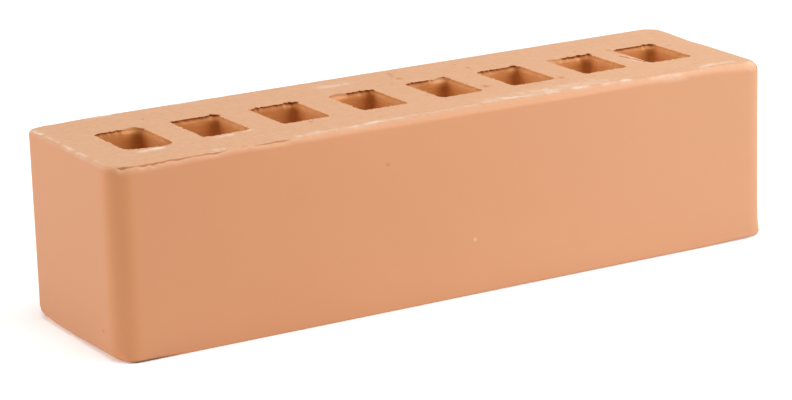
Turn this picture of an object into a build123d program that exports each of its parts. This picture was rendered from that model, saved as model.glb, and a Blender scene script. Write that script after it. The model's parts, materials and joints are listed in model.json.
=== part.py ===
from build123d import *

import os

# A narrow facing brick of fired clay. The clay column leaves its die upright, along Z, with its
# rounded corners and its row of core holes, and wires cut it to height at the two bed faces.
# Sizes are in millimetres. The brick lies on its lower bed face with the origin under its middle,
# its length along X and its width along Y.

# Outside of the brick
length = 250.0
width = 68.0
height = 63.5
upright_corner_radius = 7.7

# Arrises, the edges between the bed faces and the sides: the cut rolls the upper ones over
# and the board under the soft brick rounds the lower ones
top_arris_radius = 2.0
bottom_arris_radius = 1.5

# Core holes, in one row through the brick from bed face to bed face.
# The row lies a little nearer to the front side, at -Y, than to the back.
hole_count = 8
hole_row_shift = -1.0
hole_length = 16.2
hole_width = 25.0
hole_corner_radius = 1.5

# Clay left along the row: an end wall, then a thinner web next to each end hole.
# The webs between the other holes share what is left of the length.
end_wall = 16.2
end_web = 11.3


def hole_places():
    """The middle of each core hole on the bed face, from one end of the row to the other."""
    end_place = length / 2 - end_wall - hole_length / 2
    inner_place = end_place - hole_length - end_web
    inner_count = hole_count - 2
    inner_pitch = 2 * inner_place / (inner_count - 1)
    inner_row = [-inner_place + inner_pitch * index for index in range(inner_count)]
    return [(place, hole_row_shift) for place in [-end_place, *inner_row, end_place]]


def make_brick():
    """The column's section drawn up to the brick's height, with its arrises rounded."""
    with BuildPart() as brick:
        with BuildSketch():
            RectangleRounded(length, width, upright_corner_radius)
            with Locations(*hole_places()):
                RectangleRounded(hole_length, hole_width, hole_corner_radius, mode=Mode.SUBTRACT)
        extrude(amount=height)
        bottom_face, *_, top_face = brick.faces().filter_by(GeomType.PLANE).sort_by(Axis.Z)
        bottom_edges = bottom_face.outer_wire().edges()
        fillet(top_face.outer_wire().edges(), top_arris_radius)
        fillet(bottom_edges, bottom_arris_radius)
    return brick.part


os.makedirs("parts", exist_ok=True)
export_step(make_brick(), "parts/brick.step")
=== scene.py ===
import json
import math

import bpy
import numpy as np
from mathutils import Matrix, Vector, noise
from mathutils.geometry import delaunay_2d_cdt


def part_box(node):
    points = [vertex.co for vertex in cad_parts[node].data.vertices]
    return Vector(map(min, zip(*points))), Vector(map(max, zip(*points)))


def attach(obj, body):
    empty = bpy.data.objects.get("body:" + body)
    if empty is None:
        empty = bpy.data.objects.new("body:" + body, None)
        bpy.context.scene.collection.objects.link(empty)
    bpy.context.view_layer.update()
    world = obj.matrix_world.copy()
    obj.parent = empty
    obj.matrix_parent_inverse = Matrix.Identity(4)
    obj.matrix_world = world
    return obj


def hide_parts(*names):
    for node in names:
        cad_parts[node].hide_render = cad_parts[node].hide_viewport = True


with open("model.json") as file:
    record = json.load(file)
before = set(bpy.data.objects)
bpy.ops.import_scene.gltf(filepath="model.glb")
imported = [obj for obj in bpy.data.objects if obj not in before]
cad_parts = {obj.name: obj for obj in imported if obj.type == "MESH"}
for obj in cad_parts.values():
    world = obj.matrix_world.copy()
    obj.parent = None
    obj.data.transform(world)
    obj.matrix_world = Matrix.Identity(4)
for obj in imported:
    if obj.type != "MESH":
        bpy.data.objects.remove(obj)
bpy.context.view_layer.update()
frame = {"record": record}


# Outer skin of the brick
# The clay column leaves its die with round upright corners, and wires cut it at the two bed faces.
# The cut rolls the upper front edge over in a wide lip and leaves the other arrises tighter.

mm = 0.001
low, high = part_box("brick")
length, width, height = high - low
half_length = length / 2
half_width = width / 2
upright_corner_radius = 7.7 * mm
column_spacing = 0.7 * mm

points = []
faces = []
# The paint on the points: bed dust, hole wall, torn clay with painted shade under the rim lips, lime, and
# painted shade in the hole corners
finish_and_shade = {"bed_dust": [], "hole_wall": [], "torn_clay": [], "lime_bloom": [], "deep_corner": []}


def soft_step(start, end, value):
    """0 before start, 1 after end, and a smooth climb between them."""
    share = np.clip((value - start) / (end - start), 0.0, 1.0)
    return share * share * (3 - 2 * share)


def ripple(x, y, z, seed):
    """Smooth noise between about -1 and 1, one wave to each unit of x, y and z."""
    return noise.noise(Vector((x + 17.3 * seed, y - 9.1 * seed, z + 4.7 * seed)))


def ripples(places, wave, seed, z=0.0):
    """The noise at each of the places in plan, with waves of one length along and across."""
    return np.array([ripple(x / wave, y / wave, z, seed) for x, y in places])


def rounded_loop(half_x, half_y, radii, spacing):
    """Points round a rectangle and their outward directions, anticlockwise from its right back corner."""
    radii = np.broadcast_to(radii, 4)
    corner_signs = np.array([(1, 1), (-1, 1), (-1, -1), (1, -1)])
    corners = corner_signs * (np.array((half_x, half_y)) - radii[:, None])
    places, outward = [], []
    for quarter, (corner, radius) in enumerate(zip(corners, radii)):
        arc_steps = max(4, round(radius * math.pi / 2 / spacing))
        for step in range(arc_steps + 1):
            angle = (quarter + step / arc_steps) * math.pi / 2
            direction = np.array((math.cos(angle), math.sin(angle)))
            places.append(corner + radius * direction)
            outward.append(direction)
        run_start = places[-1]
        ahead = (quarter + 1) % 4
        run = corners[ahead] + radii[ahead] * direction - run_start
        run_steps = max(2, round(np.linalg.norm(run) / spacing))
        for step in range(1, run_steps):
            places.append(run_start + run * step / run_steps)
            outward.append(direction)
    return np.array(places), np.array(outward)


def add_points(places, dust=0.0, wall=0.0, torn=0.0, lime=0.0, deep=0.0):
    """Adds points with their paint from 0 to 1: bed dust, hole wall, dark ripped clay with painted shade in
    the rim hollows, lime, and painted shade in the deep hole corners.
    """
    first = len(points)
    count = len(places)
    points.extend(places)
    for amounts, added in zip(finish_and_shade.values(), (dust, wall, torn, lime, deep)):
        amounts.extend(np.broadcast_to(added, count))
    return np.arange(first, first + count)


def add_ring(previous, places, inside=False, **finish_and_shade_amounts):
    """Adds a loop of points and the band from the previous loop to it, down a side or down inside a hole."""
    ring = add_points(places, **finish_and_shade_amounts)
    upper, lower = (ring, previous) if inside else (previous, ring)
    faces.extend(zip(upper, lower, np.roll(lower, -1), np.roll(upper, -1)))
    return ring


# Marks on the upper bed, as places along and across it: pits with their size, a dark scratch, the crack
# that leaves a sliver of clay beside the last hole, and a dent before the first one
pits = np.array([
    (-45.3, -16.6, 0.7), (8.6, 19.0, 0.9), (26.3, -8.4, 1.2), (53.6, -13.5, 0.9), (89.9, 11.8, 0.9),
    (36.1, 19.1, 0.7), (35.2, 25.7, 0.4), (79.0, 17.0, 0.4), (-88.0, 20.0, 0.4), (112.0, 6.0, 0.4),
]) * mm
pit_stretch = 1.5
pit_depth = 0.6 * mm
scratch_start, scratch_end = np.array(((9.6, 28.0), (8.2, 23.0))) * mm
scratch_depth = 0.15 * mm
sliver_start, sliver_end = np.array(((87.8, 1.5), (89.9, -10.6))) * mm
sliver_depth = 0.8 * mm
crack_half_width = 0.55 * mm
dent_x, dent_y = -98.5 * mm, -15.5 * mm
dent_reach_x, dent_reach_y = 7 * mm, 3.5 * mm
dent_depth = 0.55 * mm

# The colour of the pits, the scratch and the crack spreads a little past them
mark_spread = 1.5
mark_darkness = np.array((0.9, 0.4, 0.9))

# Between its marks the bed has fine waves along the wire's way and a slow sag
drag_height = 0.05 * mm
sag_height = 0.10 * mm
highest_rise = 0.06 * mm


def from_line(x, y, start, end):
    """How far x, y lies from the line between start and end."""
    run = end - start
    share = np.dot((x - start[0], y - start[1]), run) / np.dot(run, run)
    nearest = start + np.clip(share, 0, 1) * run
    return np.hypot(x - nearest[0], y - nearest[1])


def mark_depths(x, y, spread=1.0):
    """How deep the pits, the scratch and the crack by the sliver are cut at x, y, each from 0 to 1."""
    from_pits = np.hypot(pits[:, 0] - x, (pits[:, 1] - y) / pit_stretch) / pits[:, 2]
    pit = np.exp(-2.5 * (from_pits.min() / spread) ** 2)
    reach = crack_half_width * spread
    scratch = np.exp(-(from_line(x, y, scratch_start, scratch_end) / reach) ** 2)
    crack = np.exp(-(from_line(x, y, sliver_start, sliver_end) / reach) ** 4)
    return pit, scratch, crack


def upper_bed_rise(x, y):
    """How far the wire-cut upper bed lies above or below its plane: drag waves, sag, marks and a dent."""
    drag = drag_height * ripple(x / (45 * mm), y / (3.2 * mm), 0, 1)
    sag = sag_height * (ripple(x / (55 * mm), y / (35 * mm), 0, 2) - 0.4)
    pit, scratch, crack = mark_depths(x, y)
    dent = math.exp(-((x - dent_x) / dent_reach_x) ** 2 - ((y - dent_y) / dent_reach_y) ** 2)
    marks = pit_depth * pit + scratch_depth * scratch + sliver_depth * crack + dent_depth * dent
    return min(drag + sag, highest_rise) - marks


def dark_marks(places):
    """How dark the marks of the upper bed are at each place, from 0 to 1."""
    depths = np.array([mark_depths(x, y, mark_spread) for x, y in np.asarray(places)[:, :2]])
    return (depths @ mark_darkness).clip(0, 1)


# Along the front: place, how far in the flat bed ends, how deep the arris rolls over, and its torn step
front_lip = np.array([
    (-125, 0.8, 3.4, 0.00), (-121, 1.0, 3.4, 0.60), (-112, 1.3, 3.0, 0.85), (-104, 1.4, 2.6, 0.70),
    (-95, 1.4, 2.4, 0.55), (-86, 1.5, 2.2, 0.45), (-83, 1.6, 2.2, 0.00), (-80, 1.7, 2.1, 0.00),
    (-77, 1.7, 2.1, 0.35), (-68, 1.7, 2.1, 0.40), (-62, 1.8, 2.1, 0.28), (-58, 2.2, 2.1, 0.00),
    (-50, 3.0, 2.1, 0.00), (-38, 2.2, 2.1, 0.00), (-28, 3.3, 2.1, 0.00), (-8, 3.3, 2.1, 0.00),
    (8, 3.4, 2.1, 0.00), (19, 4.5, 2.1, 0.00), (35, 4.4, 2.2, 0.00), (51, 4.3, 2.3, 0.00),
    (67, 3.2, 2.3, 0.00), (89, 2.3, 2.3, 0.00), (104, 2.3, 2.4, 0.00), (112, 3.2, 2.8, 0.00),
    (125, 3.0, 2.9, 0.00),
]) * mm
back_lip, back_drop = 2.0 * mm, 1.6 * mm

# Along the two ends the roll is given at the front corner and where it becomes even
end_places = np.array((-34, -4)) * mm
left_end_lip, left_end_drop = np.array(((1.2, 1.2), (2.4, 1.2))) * mm
right_end_lip, right_end_drop = np.array(((3.6, 2.2), (2.8, 2.6))) * mm

outline, outline_out = rounded_loop(half_length, half_width, upright_corner_radius, column_spacing)
outline_x, outline_y = outline.T
front_share = soft_step(0.55, 0.98, -outline_out[:, 1])
back_share = soft_step(0.55, 0.98, outline_out[:, 1])
end_share = 1 - front_share - back_share
left_end = outline_x < 0


def along_ends(left_values, right_values):
    """Values along the left and right end, at each point of the outline."""
    at_left = np.interp(outline_y, end_places, left_values)
    at_right = np.interp(outline_y, end_places, right_values)
    return np.where(left_end, at_left, at_right)


lip_along_front, drop_along_front, step_along_front = [
    np.interp(outline_x, front_lip[:, 0], values) for values in front_lip.T[1:]
]
lip_waver = 0.40 * ripples(outline, 9 * mm, 3) + 0.35 * ripples(outline, 2.2 * mm, 4)
narrowest_lip = 0.5 * mm
bed_margin = 1.4 * mm
corner_room = 0.6 * mm
lip = front_share * lip_along_front + back_share * back_lip
lip = lip + end_share * along_ends(left_end_lip, right_end_lip)
lip = np.maximum(lip + 0.8 * mm * lip_waver * (0.4 + 0.6 * front_share), narrowest_lip)
drop = front_share * drop_along_front + back_share * back_drop
drop = drop + end_share * along_ends(left_end_drop, right_end_drop)
torn_step = front_share * step_along_front * (0.8 + 2.4 * lip_waver).clip(0.15)
rim_of_bed = np.minimum(lip + bed_margin, upright_corner_radius - corner_room)

# The upper bed sinks a little towards the right end, all but its back corner, and at the left back corner
right_sag = 0.8 * mm
left_sag = 0.3 * mm


def sunk(places):
    """The places, lowered towards the two ends as far as the bed sinks there."""
    x, y, z = np.asarray(places).T
    sag = right_sag * soft_step(104 * mm, 124 * mm, x) * soft_step(30 * mm, 6 * mm, y)
    sag += left_sag * soft_step(-100 * mm, -116 * mm, x) * soft_step(4 * mm, 26 * mm, y)
    return np.column_stack((x, y, z * (1 - sag / height)))


# The sides swell in slow and in short waves, and the bottom of the right end flares a little where the
# soft brick stood on it
slow_swell = 0.10 * mm
short_swell = 0.035 * mm
foot_flare = 0.5 * mm
flare_top, flare_full = 7 * mm, 1 * mm


def skin_row(insets, heights):
    """The outline moved in by the insets at the heights, with the unevenness of soft clay along its sides."""
    insets = np.broadcast_to(insets, len(outline))
    heights = np.broadcast_to(heights, len(outline))
    places = []
    for (x, y), (out_x, out_y), inset, z in zip(outline, outline_out, insets, heights):
        swell = slow_swell * ripple(x / (48 * mm), y / (48 * mm), z / (40 * mm), 5)
        swell += short_swell * ripple(x / (9 * mm), y / (9 * mm), z / (14 * mm), 6)
        flare = foot_flare * soft_step(0.3, 0.95, out_x) * soft_step(flare_top, flare_full, z)
        away = swell + flare - inset
        places.append((x + out_x * away, y + out_y * away, z))
    return np.array(places)


# Streaks and spots of white lime on the upper bed: from x, y to x, y, half width, and how thick
lime_streaks = np.array([
    (-57.6, -31.0, -50.5, -30.3, 1.3, 0.6), (-50.5, -30.3, -37.7, -31.2, 1.1, 0.5),
    (-37.7, -31.2, -28.2, -30.0, 1.2, 0.65), (-28.2, -30.0, -8.5, -29.9, 1.2, 0.45),
    (-8.5, -29.9, 9.0, -29.8, 1.2, 0.35), (14.0, -28.4, 22.0, -27.2, 1.5, 0.5),
    (22.0, -27.2, 28.0, -28.5, 2.0, 0.8), (28.0, -28.5, 41.0, -29.1, 1.5, 0.7),
    (48.5, -29.2, 53.5, -29.8, 1.1, 1.4), (59.0, -30.4, 65.0, -30.5, 0.9, 0.55),
    (65.0, -30.5, 69.5, -30.5, 1.0, 1.1), (78.0, -32.0, 85.0, -32.4, 1.0, 0.35),
    (86.0, -32.6, 89.2, -32.8, 0.8, 0.35), (99.0, -30.3, 105.0, -28.8, 1.3, 0.8),
    (105.0, -28.8, 115.0, -28.0, 1.2, 0.7), (119.0, -32.2, 122.5, -29.5, 1.7, 0.5),
    (18.0, -26.0, 62.0, -26.5, 3.2, 0.3), (81.6, -34.2, 91.6, -34.2, 0.5, 0.25),
    (-123.3, 29.0, -123.0, 22.0, 0.8, 0.8), (-123.1, 19.0, -123.4, 8.0, 0.6, 0.4),
    (-123.6, 3.0, -123.9, -4.0, 0.8, 0.8), (-123.7, -8.0, -123.8, -14.0, 0.8, 0.8),
    (-123.7, -20.0, -123.0, -26.0, 0.6, 0.3), (-106.5, -18.2, -102.0, -17.6, 1.5, 0.65),
    (-103.0, -17.2, -99.5, -16.6, 1.3, 2.0), (-78.5, -17.4, -74.0, -16.3, 1.2, 0.6),
    (-69.5, -14.8, -66.0, -14.4, 0.8, 0.5), (-87.5, -31.0, -84.5, -30.8, 0.8, 0.45),
    (-19.0, 23.5, -10.0, 23.5, 2.0, 0.45), (-101.0, 31.7, -95.0, 31.7, 1.0, 0.6),
    (-70.0, 32.2, -63.0, 32.2, 1.0, 0.6), (86.7, 1.2, 88.8, -10.9, 0.5, 0.4),
    (88.9, 1.8, 91.0, -10.3, 0.4, 0.35),
])
streak_starts = lime_streaks[:, :2] * mm
streak_runs = lime_streaks[:, 2:4] * mm - streak_starts
streak_half_widths = lime_streaks[:, 4] * mm
streak_thickness = lime_streaks[:, 5]


def lime_at(places):
    """How thick the lime lies at each place, from 0 to 1."""
    amounts = []
    for x, y in np.asarray(places)[:, :2]:
        from_start = np.array((x, y)) - streak_starts
        share = (from_start * streak_runs).sum(axis=1) / (streak_runs ** 2).sum(axis=1)
        off = from_start - share.clip(0, 1)[:, None] * streak_runs
        gap = np.hypot(off[:, 0], off[:, 1]) / streak_half_widths
        uneven = 0.75 + 0.9 * ripple(x / (5 * mm), y / (2.5 * mm), 0, 8)
        amounts.append(np.clip((streak_thickness * np.exp(-gap ** 2)).max() * uneven, 0, 1))
    return np.array(amounts)


# The edge of the bed, which sags unevenly where the front is torn
upper_edge = skin_row(rim_of_bed, height)
for place in upper_edge:
    place[2] += upper_bed_rise(*place[:2])
upper_edge_ring = add_points(upper_edge, dust=1.0, lime=lime_at(upper_edge))
ring = upper_edge_ring
tear = soft_step(0.05 * mm, 0.25 * mm, torn_step)
sag_waver = ripples(outline, 7 * mm, 12) + 0.6 * ripples(outline, 2.5 * mm, 13)
edge_sag = tear * (0.22 * mm + 0.35 * mm * sag_waver).clip(0)
for share in (0.5, 0.85, 1.0):
    row = skin_row(rim_of_bed + (lip - rim_of_bed) * share, height - edge_sag * share ** 2)
    for place in row:
        place[2] += upper_bed_rise(*place[:2]) * (1 - share)
    ring = add_ring(ring, row, dust=1 - 0.1 * share, lime=lime_at(row))

# The torn step under that edge: how far in, its share of the depth, and how dark
tear_run = 0.3 * mm
tear_profile = (
    (lip - 0.03 * mm, 0.15, 0.8 * tear),
    (lip - 0.10 * mm, 0.85, tear),
    (lip - tear_run, 1.0, 0.6 * tear),
)
for inset, depth_share, darkness in tear_profile:
    row = skin_row(inset, height - edge_sag - depth_share * torn_step)
    ring = add_ring(ring, row, dust=0.8, torn=darkness, lime=lime_at(row))

# The rolled arris from the bed to the side, as shares of its width left and of its depth gone
arris_profile = (
    (0.86, 0.04), (0.70, 0.11), (0.53, 0.21), (0.36, 0.34),
    (0.21, 0.49), (0.09, 0.66), (0.02, 0.84), (0, 1),
)
for width_left, depth_gone in arris_profile:
    depth = (edge_sag + torn_step) * (1 - depth_gone) + drop * depth_gone
    row = skin_row((lip - tear_run) * width_left, height - depth)
    dust_left = 0.8 * (1 - depth_gone) ** 1.5
    ring = add_ring(ring, row, dust=dust_left, lime=lime_at(row) * (1 - 0.5 * depth_gone))

# The lower arris is worn rounder along the left end and at the right of the front, and is tight along the
# left of the front
plain_foot_radius = 1.5 * mm
from_back_corner = np.hypot(outline_x + half_length, outline_y - half_width)
foot_radius = plain_foot_radius + 1.6 * mm * np.exp(-(from_back_corner / (13 * mm)) ** 2)
foot_radius += (1.2 * mm + 0.9 * mm * soft_step(5 * mm, -25 * mm, outline_y)) * end_share * left_end
foot_radius -= 0.6 * mm * front_share * soft_step(60 * mm, -60 * mm, outline_x)
foot_radius += 1.4 * mm * front_share * soft_step(95 * mm, 118 * mm, outline_x)
side_shares = (
    0.01, 0.03, 0.06, 0.10, 0.16, 0.24, 0.34, 0.45, 0.56, 0.67, 0.77, 0.85, 0.91, 0.95, 0.98, 1,
)
for share in side_shares:
    ring = add_ring(ring, skin_row(0, height - drop - share * (height - drop - foot_radius)))
for angle in np.radians((22, 45, 68, 90)):
    row = skin_row(foot_radius * (1 - math.cos(angle)), foot_radius * (1 - math.sin(angle)))
    ring = add_ring(ring, row)
lower_bed_dust = 0.8
lower_edge_ring = add_ring(ring, skin_row(foot_radius + 2.0 * mm, 0.0), dust=lower_bed_dust)


# Core holes
# A row of cores in the die leaves the holes, and the wire drags the clay over their back rims.
# There it hangs as a thin torn lip over a hollow, painted dark as torn clay and as painted shade, and breaks
# away at the back corners.

opening_clearance = 0.5 * mm
first_hole_radii = np.array((3.0, 1.8, 3.0, 0.8)) * mm
other_hole_radius = 1.8 * mm
rim_spacing = 0.42 * mm
rim_margin = 2.0 * mm
hole_boxes = [np.array(opening["box_m"]) for opening in frame["record"]["physics"]["openings"]]

# How far each hole lies out of the even row, and how far its left rim is worn back
hole_wander = np.array((-1.0, -0.8, -0.7, -0.6, -0.4, -0.9, -0.8, -1.0)) * mm
row_wander = -0.3 * mm
left_wear = np.array((0.0, 0.2, 0.9, 0.4, 0.0, 0.3, 0.8, 0.6)) * mm

# For each hole, where the back rim is torn and where it has small dark nicks, as shares of the rim from
# its left end to its right end
torn_spans = (
    (0.00, 0.62), (0.02, 1.00), (0.04, 1.00), (0.46, 1.00),
    (0.00, 0.58), (0.02, 0.97), (0.40, 1.00), (0.05, 1.00),
)
nick_shares = ((), (0.90, 0.99), (0.80, 0.90, 0.99), (), (), (0.90,), (0.80, 0.98), (0.83, 0.97))
nick_half_width = 0.035
nick_depth = 0.7 * mm
nick_zone = 2.2 * mm
lip_reach = 0.45 * mm
hollow_depth = 0.25 * mm
bite_depth = 0.9 * mm
corner_reach = 1.6 * mm
rim_depth = 2.2 * mm

upper_rings = []
lower_rings = []
for number, (box_low, box_high) in enumerate(hole_boxes):
    first_hole = number == 0
    middle = (box_low + box_high)[:2] / 2 + (hole_wander[number], row_wander)
    half_x, half_y = (box_high - box_low)[:2] / 2 + opening_clearance
    rim_radii = first_hole_radii if first_hole else other_hole_radius
    rim, rim_out = rounded_loop(half_x, half_y, rim_radii, rim_spacing)
    rim_x, rim_y = rim.T
    rim_share = (rim_x + half_x) / (2 * half_x)
    back_rim = soft_step(0.5, 0.95, rim_out[:, 1])
    right_rim = soft_step(0.5, 0.95, rim_out[:, 0])
    left_rim = soft_step(0.3, 0.95, -rim_out[:, 0])
    near_back = soft_step(2 * mm, half_y, rim_y)

    # Where the rim is torn, worn, speckled or nicked, each from 0 to 1
    torn_from, torn_to = torn_spans[number]
    span_end = 1 - soft_step(torn_to, torn_to + 0.06, rim_share)
    in_span = soft_step(torn_from - 0.03, torn_from + 0.03, rim_share) * span_end
    coarse = ripples(rim, 3.1 * mm, 9, number)
    fine = ripples(rim, 0.9 * mm, 10, number)
    torn_rim = back_rim * in_span * (0.6 if first_hole else 1.0)
    worn_span = back_rim * (1 - in_span)
    specks = right_rim * (0.15 + 0.85 * near_back) * soft_step(0.05, 0.3, fine)
    from_corner_squared = (rim_x - half_x) ** 2 + (rim_y - half_y) ** 2
    back_corner = np.exp(-from_corner_squared / corner_reach ** 2)
    near_nicks = sum(np.exp(-((rim_share - share) / nick_half_width) ** 2) for share in nick_shares[number])
    nicks = near_nicks * (rim_y > half_y - nick_zone)
    frayed = (torn_rim * (0.75 + 0.9 * fine).clip(0.25, 1) + 0.8 * specks + nicks).clip(0, 1)

    # How far the rim lies out of line, how far its lip hangs over, and how deep the hollow under it is
    wavy = 0.25 * mm + 0.40 * mm * coarse * (1 - 0.6 * right_rim)
    teeth = 1.0 * mm * fine * (1 - 0.7 * worn_span - 0.5 * right_rim)
    ragged = wavy + teeth
    bite = bite_depth * (back_corner * (0.5 + 0.8 * fine).clip(0, 1) + 0.35 * specks)
    bite += 0.5 * mm * torn_rim * soft_step(0.35, 0.6, fine) + nick_depth * nicks
    worn = 0.5 * mm * worn_span + left_wear[number] * left_rim
    lip_out = lip_reach * torn_rim * (0.55 + 0.5 * coarse + 0.5 * fine).clip(0, 1.4)
    hollow = hollow_depth * torn_rim * (0.8 + 0.35 * coarse) + 0.35 * mm * specks

    # Painted shade darkens the upright corners of the hole
    to_corner = np.hypot(np.abs(rim_x) - half_x, np.abs(rim_y) - half_y)
    shade_reach = 2.9 * mm + 3.0 * mm * first_hole * np.abs(rim_out[:, 0])
    corner_shade = np.exp(-(to_corner / shade_reach) ** 2)

    def hole_row(offsets, heights, lift=0.0):
        """The hole's outline moved into the clay by the offsets, at the heights, lifted with the bed."""
        offsets = np.broadcast_to(offsets, len(rim))
        plan = middle + rim + rim_out * offsets[:, None]
        lifted = heights + np.array([upper_bed_rise(x, y) for x, y in plan]) * lift
        return np.column_stack((plan, lifted))

    # On the bed, towards the rim: how far from it, and the share of its raggedness
    row = hole_row(rim_margin, height, 1.0)
    ring = add_points(row, dust=1.0, torn=dark_marks(row), lime=lime_at(row))
    upper_rings.append(ring)
    bed_rows = ((1.7 * mm, 0.05), (1.4 * mm, 0.1), (0.9 * mm, 0.3), (0.5 * mm, 0.6), (0.22 * mm, 0.9))
    for offset, ragged_share in bed_rows:
        bed_drop = 0.25 * worn * ragged_share
        row = hole_row(offset + ragged_share * (bite + ragged + worn), height - bed_drop, 1.0)
        nicked = ragged_share * np.maximum(0.5 * specks, 0.9 * nicks)
        darkness = np.maximum(nicked, dark_marks(row))
        ring = add_ring(ring, row, inside=True, dust=1.0, torn=darkness, lime=lime_at(row))

    # Over the rim: how far out, how deep, how dusty as the bed, and how dark it is painted where it is torn:
    # torn clay, and painted shade in the hollow under the lip
    rim_profile = (
        (0.05 * mm - lip_out, 0.06 * mm, 0.7, 0.1),
        (-0.8 * lip_out, 0.18 * mm, 0.3, 0.5),
        (hollow, 0.28 * mm, 0.0, 1.0),
        (0.9 * hollow, 0.70 * mm + 0.35 * mm * coarse, 0.0, 0.9),
        (0.3 * hollow, 1.05 * mm + 0.35 * mm * coarse, 0.0, 0.3),
        (0.0, 1.5 * mm, 0.0, 0.0),
        (0.0, rim_depth, 0.0, 0.0),
    )
    worn_dust = 0.4 if first_hole else 0.9
    for offset, depth, bed_share, torn_share in rim_profile:
        fade = 1 - soft_step(0.3 * mm, rim_depth, depth)
        tooth_fade = 1 - soft_step(0.1 * mm, 0.5 * mm, depth)
        shift = fade * (bite + wavy + worn) + tooth_fade * teeth
        row = hole_row(offset + shift, height - depth - 0.5 * worn * fade, 1 - depth / rim_depth)
        dusty = np.maximum(bed_share, worn_dust * worn_span * fade)
        bare = 1 - dusty
        darkness = torn_share * frayed
        # The bare wall gets painted shade towards its upright corners
        deep = corner_shade * bare
        ring = add_ring(ring, row, inside=True, dust=0.85 * dusty, wall=bare, torn=darkness, deep=deep)

    # Down the wall, in slow waves, to the rim in the lower bed
    for share in (0.02, 0.045, 0.08, 0.13, 0.2, 0.3, 0.42, 0.56, 0.7, 0.82, 0.91, 0.96, 0.99):
        z = (height - rim_depth) * (1 - share)
        wave = 0.12 * mm * ripples(rim, 14 * mm, 11 + number, z / (9 * mm))
        # Painted shade darkens the wall towards its upright corners
        ring = add_ring(ring, hole_row(wave, z), inside=True, wall=1.0, deep=corner_shade)
    lower_rim_rows = (
        (0.1 * mm + ragged, 0.08 * mm, 0.5),
        (0.3 * mm + ragged, 0.0, lower_bed_dust),
        (rim_margin, 0.0, lower_bed_dust),
    )
    for offset, z, dusty in lower_rim_rows:
        ring = add_ring(ring, hole_row(offset, z), inside=True, wall=1 - dusty, dust=dusty)
    lower_rings.append(ring)


# Bed faces
# Each is one wire-cut plane of clay between the outer edge and the hole rims.
# The wire drags the upper one a little along the brick, and the lower one lies on the floor.


def scattered_points(spacing, keep_away):
    """Points in staggered rows over the bed, a little out of line, clear of the loops and of the marks."""
    chance = np.random.default_rng(7)
    row_gap = spacing * math.sqrt(3) / 2
    places = []
    for index, y in enumerate(np.arange(-half_width, half_width, row_gap)):
        shift = spacing / 2 * (index % 2)
        for x in np.arange(-half_length + shift, half_length, spacing):
            places.append((x, y))
    places = np.array(places)
    places += chance.uniform(-0.2, 0.2, places.shape) * spacing
    keep = np.ones(len(places), bool)
    for loop in keep_away:
        for block in np.array_split(np.arange(len(places)), 40):
            gap = places[block][:, None, :] - loop[None, :, :]
            keep[block] &= np.hypot(gap[..., 0], gap[..., 1]).min(axis=1) > 0.7 * spacing
    return places[keep]


def mark_points():
    """Close rings of points at the pits and rows along the scratch and the crack of the upper bed."""
    places = []
    for x, y, radius in pits:
        places.append((x, y))
        for share, count in ((0.4, 6), (0.8, 9), (1.2, 11), (1.7, 11)):
            for step in range(count):
                angle = 2 * math.pi * (step + share) / count
                reach_x = share * radius * math.cos(angle)
                reach_y = share * radius * math.sin(angle) * pit_stretch
                places.append((x + reach_x, y + reach_y))
    for start, end in ((scratch_start, scratch_end), (sliver_start, sliver_end)):
        run = end - start
        side = np.array((-run[1], run[0])) / np.linalg.norm(run)
        for share in np.linspace(-0.12, 1.12, 28):
            for offset in (-2.0, -1.4, -1.0, -0.6, 0.0, 0.6, 1.0, 1.4, 2.0):
                places.append(start + share * run + side * offset * crack_half_width)
    return np.array(places)


def plan_of(ring):
    """The places of a loop of points in plan."""
    return np.array([points[index][:2] for index in ring])


def outside_holes(places, offset):
    """Those of the places that lie outside every hole by more than offset."""
    keep = np.ones(len(places), bool)
    for (box_low, box_high), wander in zip(hole_boxes, hole_wander):
        middle = (box_low + box_high)[:2] / 2 + (wander, row_wander)
        half = (box_high - box_low)[:2] / 2 + opening_clearance + offset
        keep &= (np.abs(places - middle) > half).any(axis=1)
    return places[keep]


def inside_edge(places, ring):
    """Those of the places that lie inside the closed loop of points."""
    loop = plan_of(ring)
    ahead = np.roll(loop, -1, axis=0)
    inside = np.zeros(len(places), bool)
    for (x0, y0), (x1, y1) in zip(loop, ahead):
        crosses = (y0 > places[:, 1]) != (y1 > places[:, 1])
        if y0 != y1:
            crossing_x = x0 + (places[:, 1] - y0) * (x1 - x0) / (y1 - y0)
            inside ^= crosses & (places[:, 0] < crossing_x)
    return places[inside]


def add_bed(rings, loose, loose_indices, facing_up):
    """Fills the bed between its edge, the first ring, and the hole rims, through the loose points."""
    owners = np.concatenate([*rings, loose_indices])
    which_ring = [np.full(len(ring), number) for number, ring in enumerate(rings)]
    which_ring = np.concatenate([*which_ring, np.full(len(loose), -1)])
    flat = np.concatenate([*[plan_of(ring) for ring in rings], loose]) / mm
    edges = []
    first = 0
    for ring in rings:
        order = np.arange(first, first + len(ring))
        edges.extend(zip(order.tolist(), np.roll(order, -1).tolist()))
        first += len(ring)
    flat_points = [Vector(place) for place in flat]
    _, _, triangles, origins, _, _ = delaunay_2d_cdt(flat_points, edges, [], 1, 1e-7)
    for triangle in triangles:
        corners = [origins[corner][0] for corner in triangle]
        ring_numbers = {which_ring[corner] for corner in corners}
        if len(ring_numbers) == 1 and ring_numbers.pop() > 0:
            continue
        corners = corners if facing_up else corners[::-1]
        faces.append(tuple(owners[corner] for corner in corners))


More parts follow.
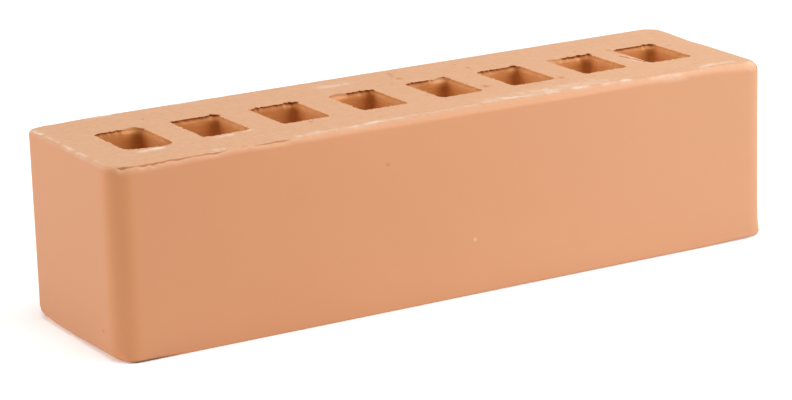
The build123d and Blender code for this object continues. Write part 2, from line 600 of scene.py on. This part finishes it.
upper_spacing = 1.15 * mm
upper_marks = outside_holes(mark_points(), 2.4 * mm)
upper_loops = [upper_edge_ring, *upper_rings]
upper_loose = scattered_points(upper_spacing, [*[plan_of(ring) for ring in upper_loops], upper_marks])
upper_loose = outside_holes(inside_edge(upper_loose, upper_edge_ring), 2.2 * mm)
upper_loose = np.concatenate([upper_loose, upper_marks])
upper_places = [(x, y, height + upper_bed_rise(x, y)) for x, y in upper_loose]
upper_indices = add_points(upper_places, dust=1.0, torn=dark_marks(upper_loose), lime=lime_at(upper_loose))
add_bed(upper_loops, upper_loose, upper_indices, True)

lower_spacing = 2.4 * mm
lower_loops = [lower_edge_ring, *lower_rings]
lower_loose = scattered_points(lower_spacing, [plan_of(ring) for ring in lower_loops])
lower_loose = outside_holes(inside_edge(lower_loose, lower_edge_ring), rim_margin)
lower_indices = add_points([(x, y, 0.0) for x, y in lower_loose], dust=lower_bed_dust)
add_bed(lower_loops, lower_loose, lower_indices, False)

mesh = bpy.data.meshes.new("brick_clay")
mesh_places = [tuple(place) for place in sunk(points)]
mesh_faces = [tuple(int(index) for index in face) for face in faces]
mesh.from_pydata(mesh_places, [], mesh_faces)
for layer_name, amounts in finish_and_shade.items():
    layer = mesh.attributes.new(layer_name, "FLOAT", "POINT")
    layer.data.foreach_set("value", np.array(amounts, dtype=np.float32))
mesh.polygons.foreach_set("use_smooth", [True] * len(mesh.polygons))
mesh.update()
brick = bpy.data.objects.new("brick_clay", mesh)
bpy.context.scene.collection.objects.link(brick)


# Fired clay
# Unglazed, matt and peach-orange, paler where the wire dragged dust over the beds and whitish where
# lime came out along the edges. The walls of the holes are redder, and painted brighter than the sides as
# painted light. Torn clay is dark, and painted shade darkens the hole corners and the hollows under the torn
# lips.


class Shade:
    """A socket that takes part in Python expressions: each operator adds a Math node."""

    def __init__(self, tree, socket=None):
        self.tree = tree
        self.socket = socket

    def node(self, kind, settings, sockets, output=0):
        """Adds a node, sets it up, gives its sockets their values or links, and wraps one output."""
        made = self.tree.nodes.new(kind)
        for name, value in settings.items():
            setattr(made, name, value)
        for name, value in sockets.items():
            if isinstance(value, Shade):
                self.tree.links.new(value.socket, made.inputs[name])
            else:
                made.inputs[name].default_value = value
        return Shade(self.tree, made.outputs[output])

    def math(self, operation, first, second):
        """Adds a Math node on two values."""
        return self.node("ShaderNodeMath", {"operation": operation}, {0: first, 1: second})

    def __add__(self, other):
        return self.math("ADD", self, other)

    def __radd__(self, other):
        return self.math("ADD", other, self)

    def __sub__(self, other):
        return self.math("SUBTRACT", self, other)

    def __rsub__(self, other):
        return self.math("SUBTRACT", other, self)

    def __mul__(self, other):
        return self.math("MULTIPLY", self, other)

    def __rmul__(self, other):
        return self.math("MULTIPLY", other, self)

    def clamp(self, start, end):
        """0 where the value is at start, 1 at end, and held there beyond them."""
        sockets = {"Value": self, "From Min": start, "From Max": end}
        return self.node("ShaderNodeMapRange", {"clamp": True, "interpolation_type": "SMOOTHSTEP"}, sockets)

    def between(self, first, second):
        """The first colour where this value is 0, turning into the second where it is 1."""
        settings = {"data_type": "RGBA", "blend_type": "MIX"}
        return self.node("ShaderNodeMix", settings, {0: self, 6: first, 7: second}, output=2)

    def painted(self, name):
        """A layer that is painted on the points of the mesh, from 0 to 1."""
        return self.node("ShaderNodeAttribute", {"attribute_name": name}, {}, output=2)


clay = bpy.data.materials.new("fired_clay")
clay.use_nodes = True
clay_surface = clay.node_tree.nodes["Principled BSDF"]
clay_nodes = Shade(clay.node_tree)
position = clay_nodes.node("ShaderNodeTexCoord", {}, {}, output=3)
along, across, above = [
    clay_nodes.node("ShaderNodeSeparateXYZ", {}, {0: position}, output=axis) for axis in range(3)
]


def stretched(scales):
    """Places on the brick, with each axis multiplied by its own scale."""
    return clay_nodes.node("ShaderNodeVectorMath", {"operation": "MULTIPLY"}, {0: position, 1: scales})


def mottle(scales, detail, roughness=0.5):
    """Noise between 0 and 1 over the brick, one wave to each 1/scale metres."""
    sockets = {"Vector": stretched(scales), "Scale": 1.0, "Detail": detail, "Roughness": roughness}
    return clay_nodes.node("ShaderNodeTexNoise", {}, sockets)


def distance_from(places, target):
    """How far the places lie from one target."""
    settings = {"operation": "DISTANCE"}
    return clay_nodes.node("ShaderNodeVectorMath", settings, {0: places, 1: target}, output=1)


def spot(x, y, z, radius):
    """1 at a place on the brick given in millimetres, fading to 0 at radius from it."""
    return distance_from(position, (x * mm, y * mm, z * mm)).clamp(radius * mm, 0.3 * radius * mm)


dust_mask = clay_nodes.painted("bed_dust")
wall_mask = clay_nodes.painted("hole_wall")
torn_mask = clay_nodes.painted("torn_clay")
lime_mask = clay_nodes.painted("lime_bloom")
hole_corner_shade_mask = clay_nodes.painted("deep_corner")
cloudy = mottle((22, 22, 30), 3)
grain = mottle((900, 900, 900), 3, 0.6)
dragged = mottle((560, 480, 480), 4, 0.62)
combed = mottle((110, 110, 1500), 2)
flecks = mottle((420, 420, 420), 1)

side_colour = (0.630, 0.279, 0.126, 1)
cloud_colour = (0.656, 0.297, 0.141, 1)
# Painted light on the sides: shade at the left, sheen at the right, and shade in the front left corner
left_shade_colour = (0.60, 0.258, 0.117, 1)
right_sheen_colour = (0.645, 0.330, 0.180, 1)
front_corner_shade_colour = (0.65, 0.255, 0.088, 1)
dust_colour = (0.645, 0.362, 0.210, 1)
right_dust_and_sheen_colour = (0.70, 0.42, 0.26, 1)
pale_drag_colour = (0.74, 0.46, 0.29, 1)
red_drag_colour = (0.58, 0.275, 0.13, 1)
fleck_colour = (0.45, 0.20, 0.10, 1)
# Bare wall clay, painted brighter than the sides as painted light for the holes
wall_colour = (0.93, 0.43, 0.13, 1)
# Painted shade for the tops of the hole walls
wall_top_shade_colour = (0.79, 0.335, 0.105, 1)
combed_colour = (0.62, 0.235, 0.055, 1)
# Painted shade for the upright corners of the holes
hole_corner_shade_colour = (0.50, 0.175, 0.022, 1)
# Torn clay, also used as painted shade in the hollows under the rim lips
torn_colour = (0.45, 0.13, 0.025, 1)
lime_colour = (0.84, 0.71, 0.60, 1)
speck_colour = (0.40, 0.15, 0.06, 1)
# Painted shadow at the left of the front foot
foot_shadow_colour = (0.10, 0.04, 0.015, 1)

# The sides, with painted shade making them a little browner at the left, a painted sheen making them paler at
# the right, and a redder painted shade in the front left corner
colour = (cloudy.clamp(0.35, 0.7) * 0.5).between(side_colour, cloud_colour)
colour = (along.clamp(-0.02, -0.11) * 0.6).between(colour, left_shade_colour)
colour = (along.clamp(-0.07, 0.13) * 0.6).between(colour, right_sheen_colour)
from_front_corner = distance_from(stretched((1, 1, 0)), (-0.1235, -0.0325, 0.0))
colour = (from_front_corner.clamp(0.009, 0.003) * 0.6).between(colour, front_corner_shade_colour)

# The dusty beds with the grain that the wire left, and a painted sheen making them paler towards the right
# end
colour = dust_mask.between(colour, dust_colour)
# A painted sheen pales the dusty bed towards the right end
colour = (dust_mask * along.clamp(0.02, 0.12) * 0.25).between(colour, right_dust_and_sheen_colour)
colour = (dust_mask * dragged.clamp(0.45, 0.75) * 0.25).between(colour, pale_drag_colour)
colour = (dust_mask * (1 - dragged).clamp(0.45, 0.75) * 0.28).between(colour, red_drag_colour)

# The hole walls, combed level by the core: redder bare clay painted brighter than the sides as painted light,
# with painted shade at their tops and in their corners, and torn rims dark as torn clay and as painted shade
# under the lips
# The bare walls are painted brighter than the sides: painted light for the holes
colour = (wall_mask * 0.9).between(colour, wall_colour)
# Painted shade darkens the top of each hole wall, where the light falls straight in
colour = (wall_mask * above.clamp(0.055, 0.063) * 0.75).between(colour, wall_top_shade_colour)
colour = (wall_mask * combed.clamp(0.48, 0.66) * 0.25).between(colour, combed_colour)
# Painted shade in the upright corners of the holes
colour = (hole_corner_shade_mask * 0.75).between(colour, hole_corner_shade_colour)
# Torn clay, and painted shade in the hollows under the torn rim lips
colour = (torn_mask * 0.82).between(colour, torn_colour)

# Lime, flecks, two dark specks, a white one, and a painted shadow line at the left of the front foot
colour = (lime_mask * dragged.clamp(0.25, 0.55)).between(colour, lime_colour)
colour = (dust_mask * flecks.clamp(0.68, 0.74) * 0.25).between(colour, fleck_colour)
colour = (spot(-27.0, -34.0, 49.9, 1.0) * 0.35).between(colour, speck_colour)
colour = (spot(-125.0, -22.2, 8.7, 0.9) * 0.6).between(colour, speck_colour)
colour = (spot(5.3, -34.0, 19.1, 1.0) * 0.25).between(colour, lime_colour)
# A painted shadow line along the bottom of the front, at its left end
foot_shadow = above.clamp(0.0011, 0.0005) * across.clamp(-0.031, -0.033)
foot_shadow = foot_shadow * along.clamp(-0.1225, -0.1190) * along.clamp(-0.100, -0.115)
colour = (foot_shadow * 0.85).between(colour, foot_shadow_colour)

relief = grain * 0.5 + dust_mask * dragged * 0.6 + wall_mask * combed * 0.8
bump = clay_nodes.node("ShaderNodeBump", {}, {"Height": relief, "Strength": 0.25, "Distance": 0.0002})
clay.node_tree.links.new(colour.socket, clay_surface.inputs["Base Color"])
clay.node_tree.links.new(bump.socket, clay_surface.inputs["Normal"])
clay_surface.inputs["Roughness"].default_value = 0.62
clay_surface.inputs["Specular IOR Level"].default_value = 0.5
mesh.materials.append(clay)
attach(brick, "root")
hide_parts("brick")


# Studio
# A plain white floor that turns up into a wall all round, and three soft boxes: one at each side and
# one above. Far from the brick the floor glows, because the soft boxes do not reach it.

floor_rings = (
    (0.40, 0.0), (0.55, 0.0), (0.70, 0.0), (0.85, 0.0), (1.0, 0.0), (1.2, 0.0), (2.0, 0.0),
    (3.8, 0.0), (4.0, 0.02), (4.12, 0.07), (4.18, 0.16), (4.2, 0.45),
)
floor_steps = 48
glow_from, glow_full = 0.4, 1.2
floor_places = [(0.0, 0.0, 0.0)]
floor_faces = []
far_glow = [0.0]
for ring_number, (radius, rise) in enumerate(floor_rings):
    first = 1 + ring_number * floor_steps
    for step in range(floor_steps):
        angle = 2 * math.pi * step / floor_steps
        ahead = (step + 1) % floor_steps
        floor_places.append((radius * math.cos(angle), radius * math.sin(angle), rise))
        far_glow.append(soft_step(glow_from, glow_full, radius))
        if ring_number == 0:
            floor_faces.append((0, first + step, first + ahead))
        else:
            inner = first - floor_steps
            floor_faces.append((inner + step, first + step, first + ahead, inner + ahead))
floor_mesh = bpy.data.meshes.new("floor")
floor_mesh.from_pydata(floor_places, [], floor_faces)
glow_layer = floor_mesh.attributes.new("far_glow", "FLOAT", "POINT")
glow_layer.data.foreach_set("value", np.array(far_glow, dtype=np.float32))
floor = bpy.data.objects.new("floor", floor_mesh)
floor_paint = bpy.data.materials.new("floor_paint")
floor_paint.use_nodes = True
floor_surface = floor_paint.node_tree.nodes["Principled BSDF"]
floor_surface.inputs["Base Color"].default_value = (0.93, 0.93, 0.93, 1)
floor_surface.inputs["Emission Strength"].default_value = 1.0
floor_surface.inputs["Roughness"].default_value = 0.9
floor_surface.inputs["Specular IOR Level"].default_value = 0.1
glow = Shade(floor_paint.node_tree).painted("far_glow") * 0.72 + 0.25
floor_paint.node_tree.links.new(glow.socket, floor_surface.inputs["Emission Color"])
floor_mesh.materials.append(floor_paint)
bpy.context.scene.collection.objects.link(floor)

world = bpy.data.worlds.new("white_room")
bpy.context.scene.world = world
world.use_nodes = True
world.node_tree.nodes["Background"].inputs["Color"].default_value = (1.0, 1.0, 1.0, 1)
world.node_tree.nodes["Background"].inputs["Strength"].default_value = 0.02


def soft_box(name, place, size, watts):
    """A square soft box at place, turned to the middle of the brick."""
    light = bpy.data.lights.new(name, "AREA")
    light.shape = "SQUARE"
    light.size = size
    light.energy = watts
    lamp = bpy.data.objects.new(name, light)
    lamp.location = place
    towards = Vector((0.0, 0.0, height / 2)) - Vector(place)
    lamp.rotation_euler = towards.to_track_quat("-Z", "Y").to_euler()
    bpy.context.scene.collection.objects.link(lamp)


soft_box("left_soft_box", (-0.82, 0.60, 0.44), 0.6, 5.15)
soft_box("right_soft_box", (0.48, -0.30, 0.51), 0.6, 3.8)
soft_box("top_soft_box", (-0.08, -0.13, 1.15), 0.8, 10.7)


# Camera
# A long lens to the left of the brick's front, a little above it and turned a touch.

azimuth, elevation, roll = np.radians((-29.80, 15.38, 1.78))
aim = Vector((-4.92 * mm, 0.0, 26.77 * mm))
distance = 1018.9 * mm
picture_width = 792
focal_pixels = 3015
back = Vector((
    math.sin(azimuth) * math.cos(elevation),
    -math.cos(azimuth) * math.cos(elevation),
    math.sin(elevation),
))
level_right = Vector((math.cos(azimuth), math.sin(azimuth), 0.0))
level_up = back.cross(level_right)
right = math.cos(roll) * level_right - math.sin(roll) * level_up
up = math.cos(roll) * level_up + math.sin(roll) * level_right
lens = bpy.data.cameras.new("camera")
lens.sensor_width = 36.0
lens.lens = lens.sensor_width * focal_pixels / picture_width
camera = bpy.data.objects.new("camera", lens)
turned = Matrix((right, up, back)).transposed().to_4x4()
camera.matrix_world = Matrix.Translation(aim + distance * back) @ turned
bpy.context.scene.collection.objects.link(camera)
bpy.context.scene.camera = camera
bpy.context.scene.view_settings.view_transform = "Standard"
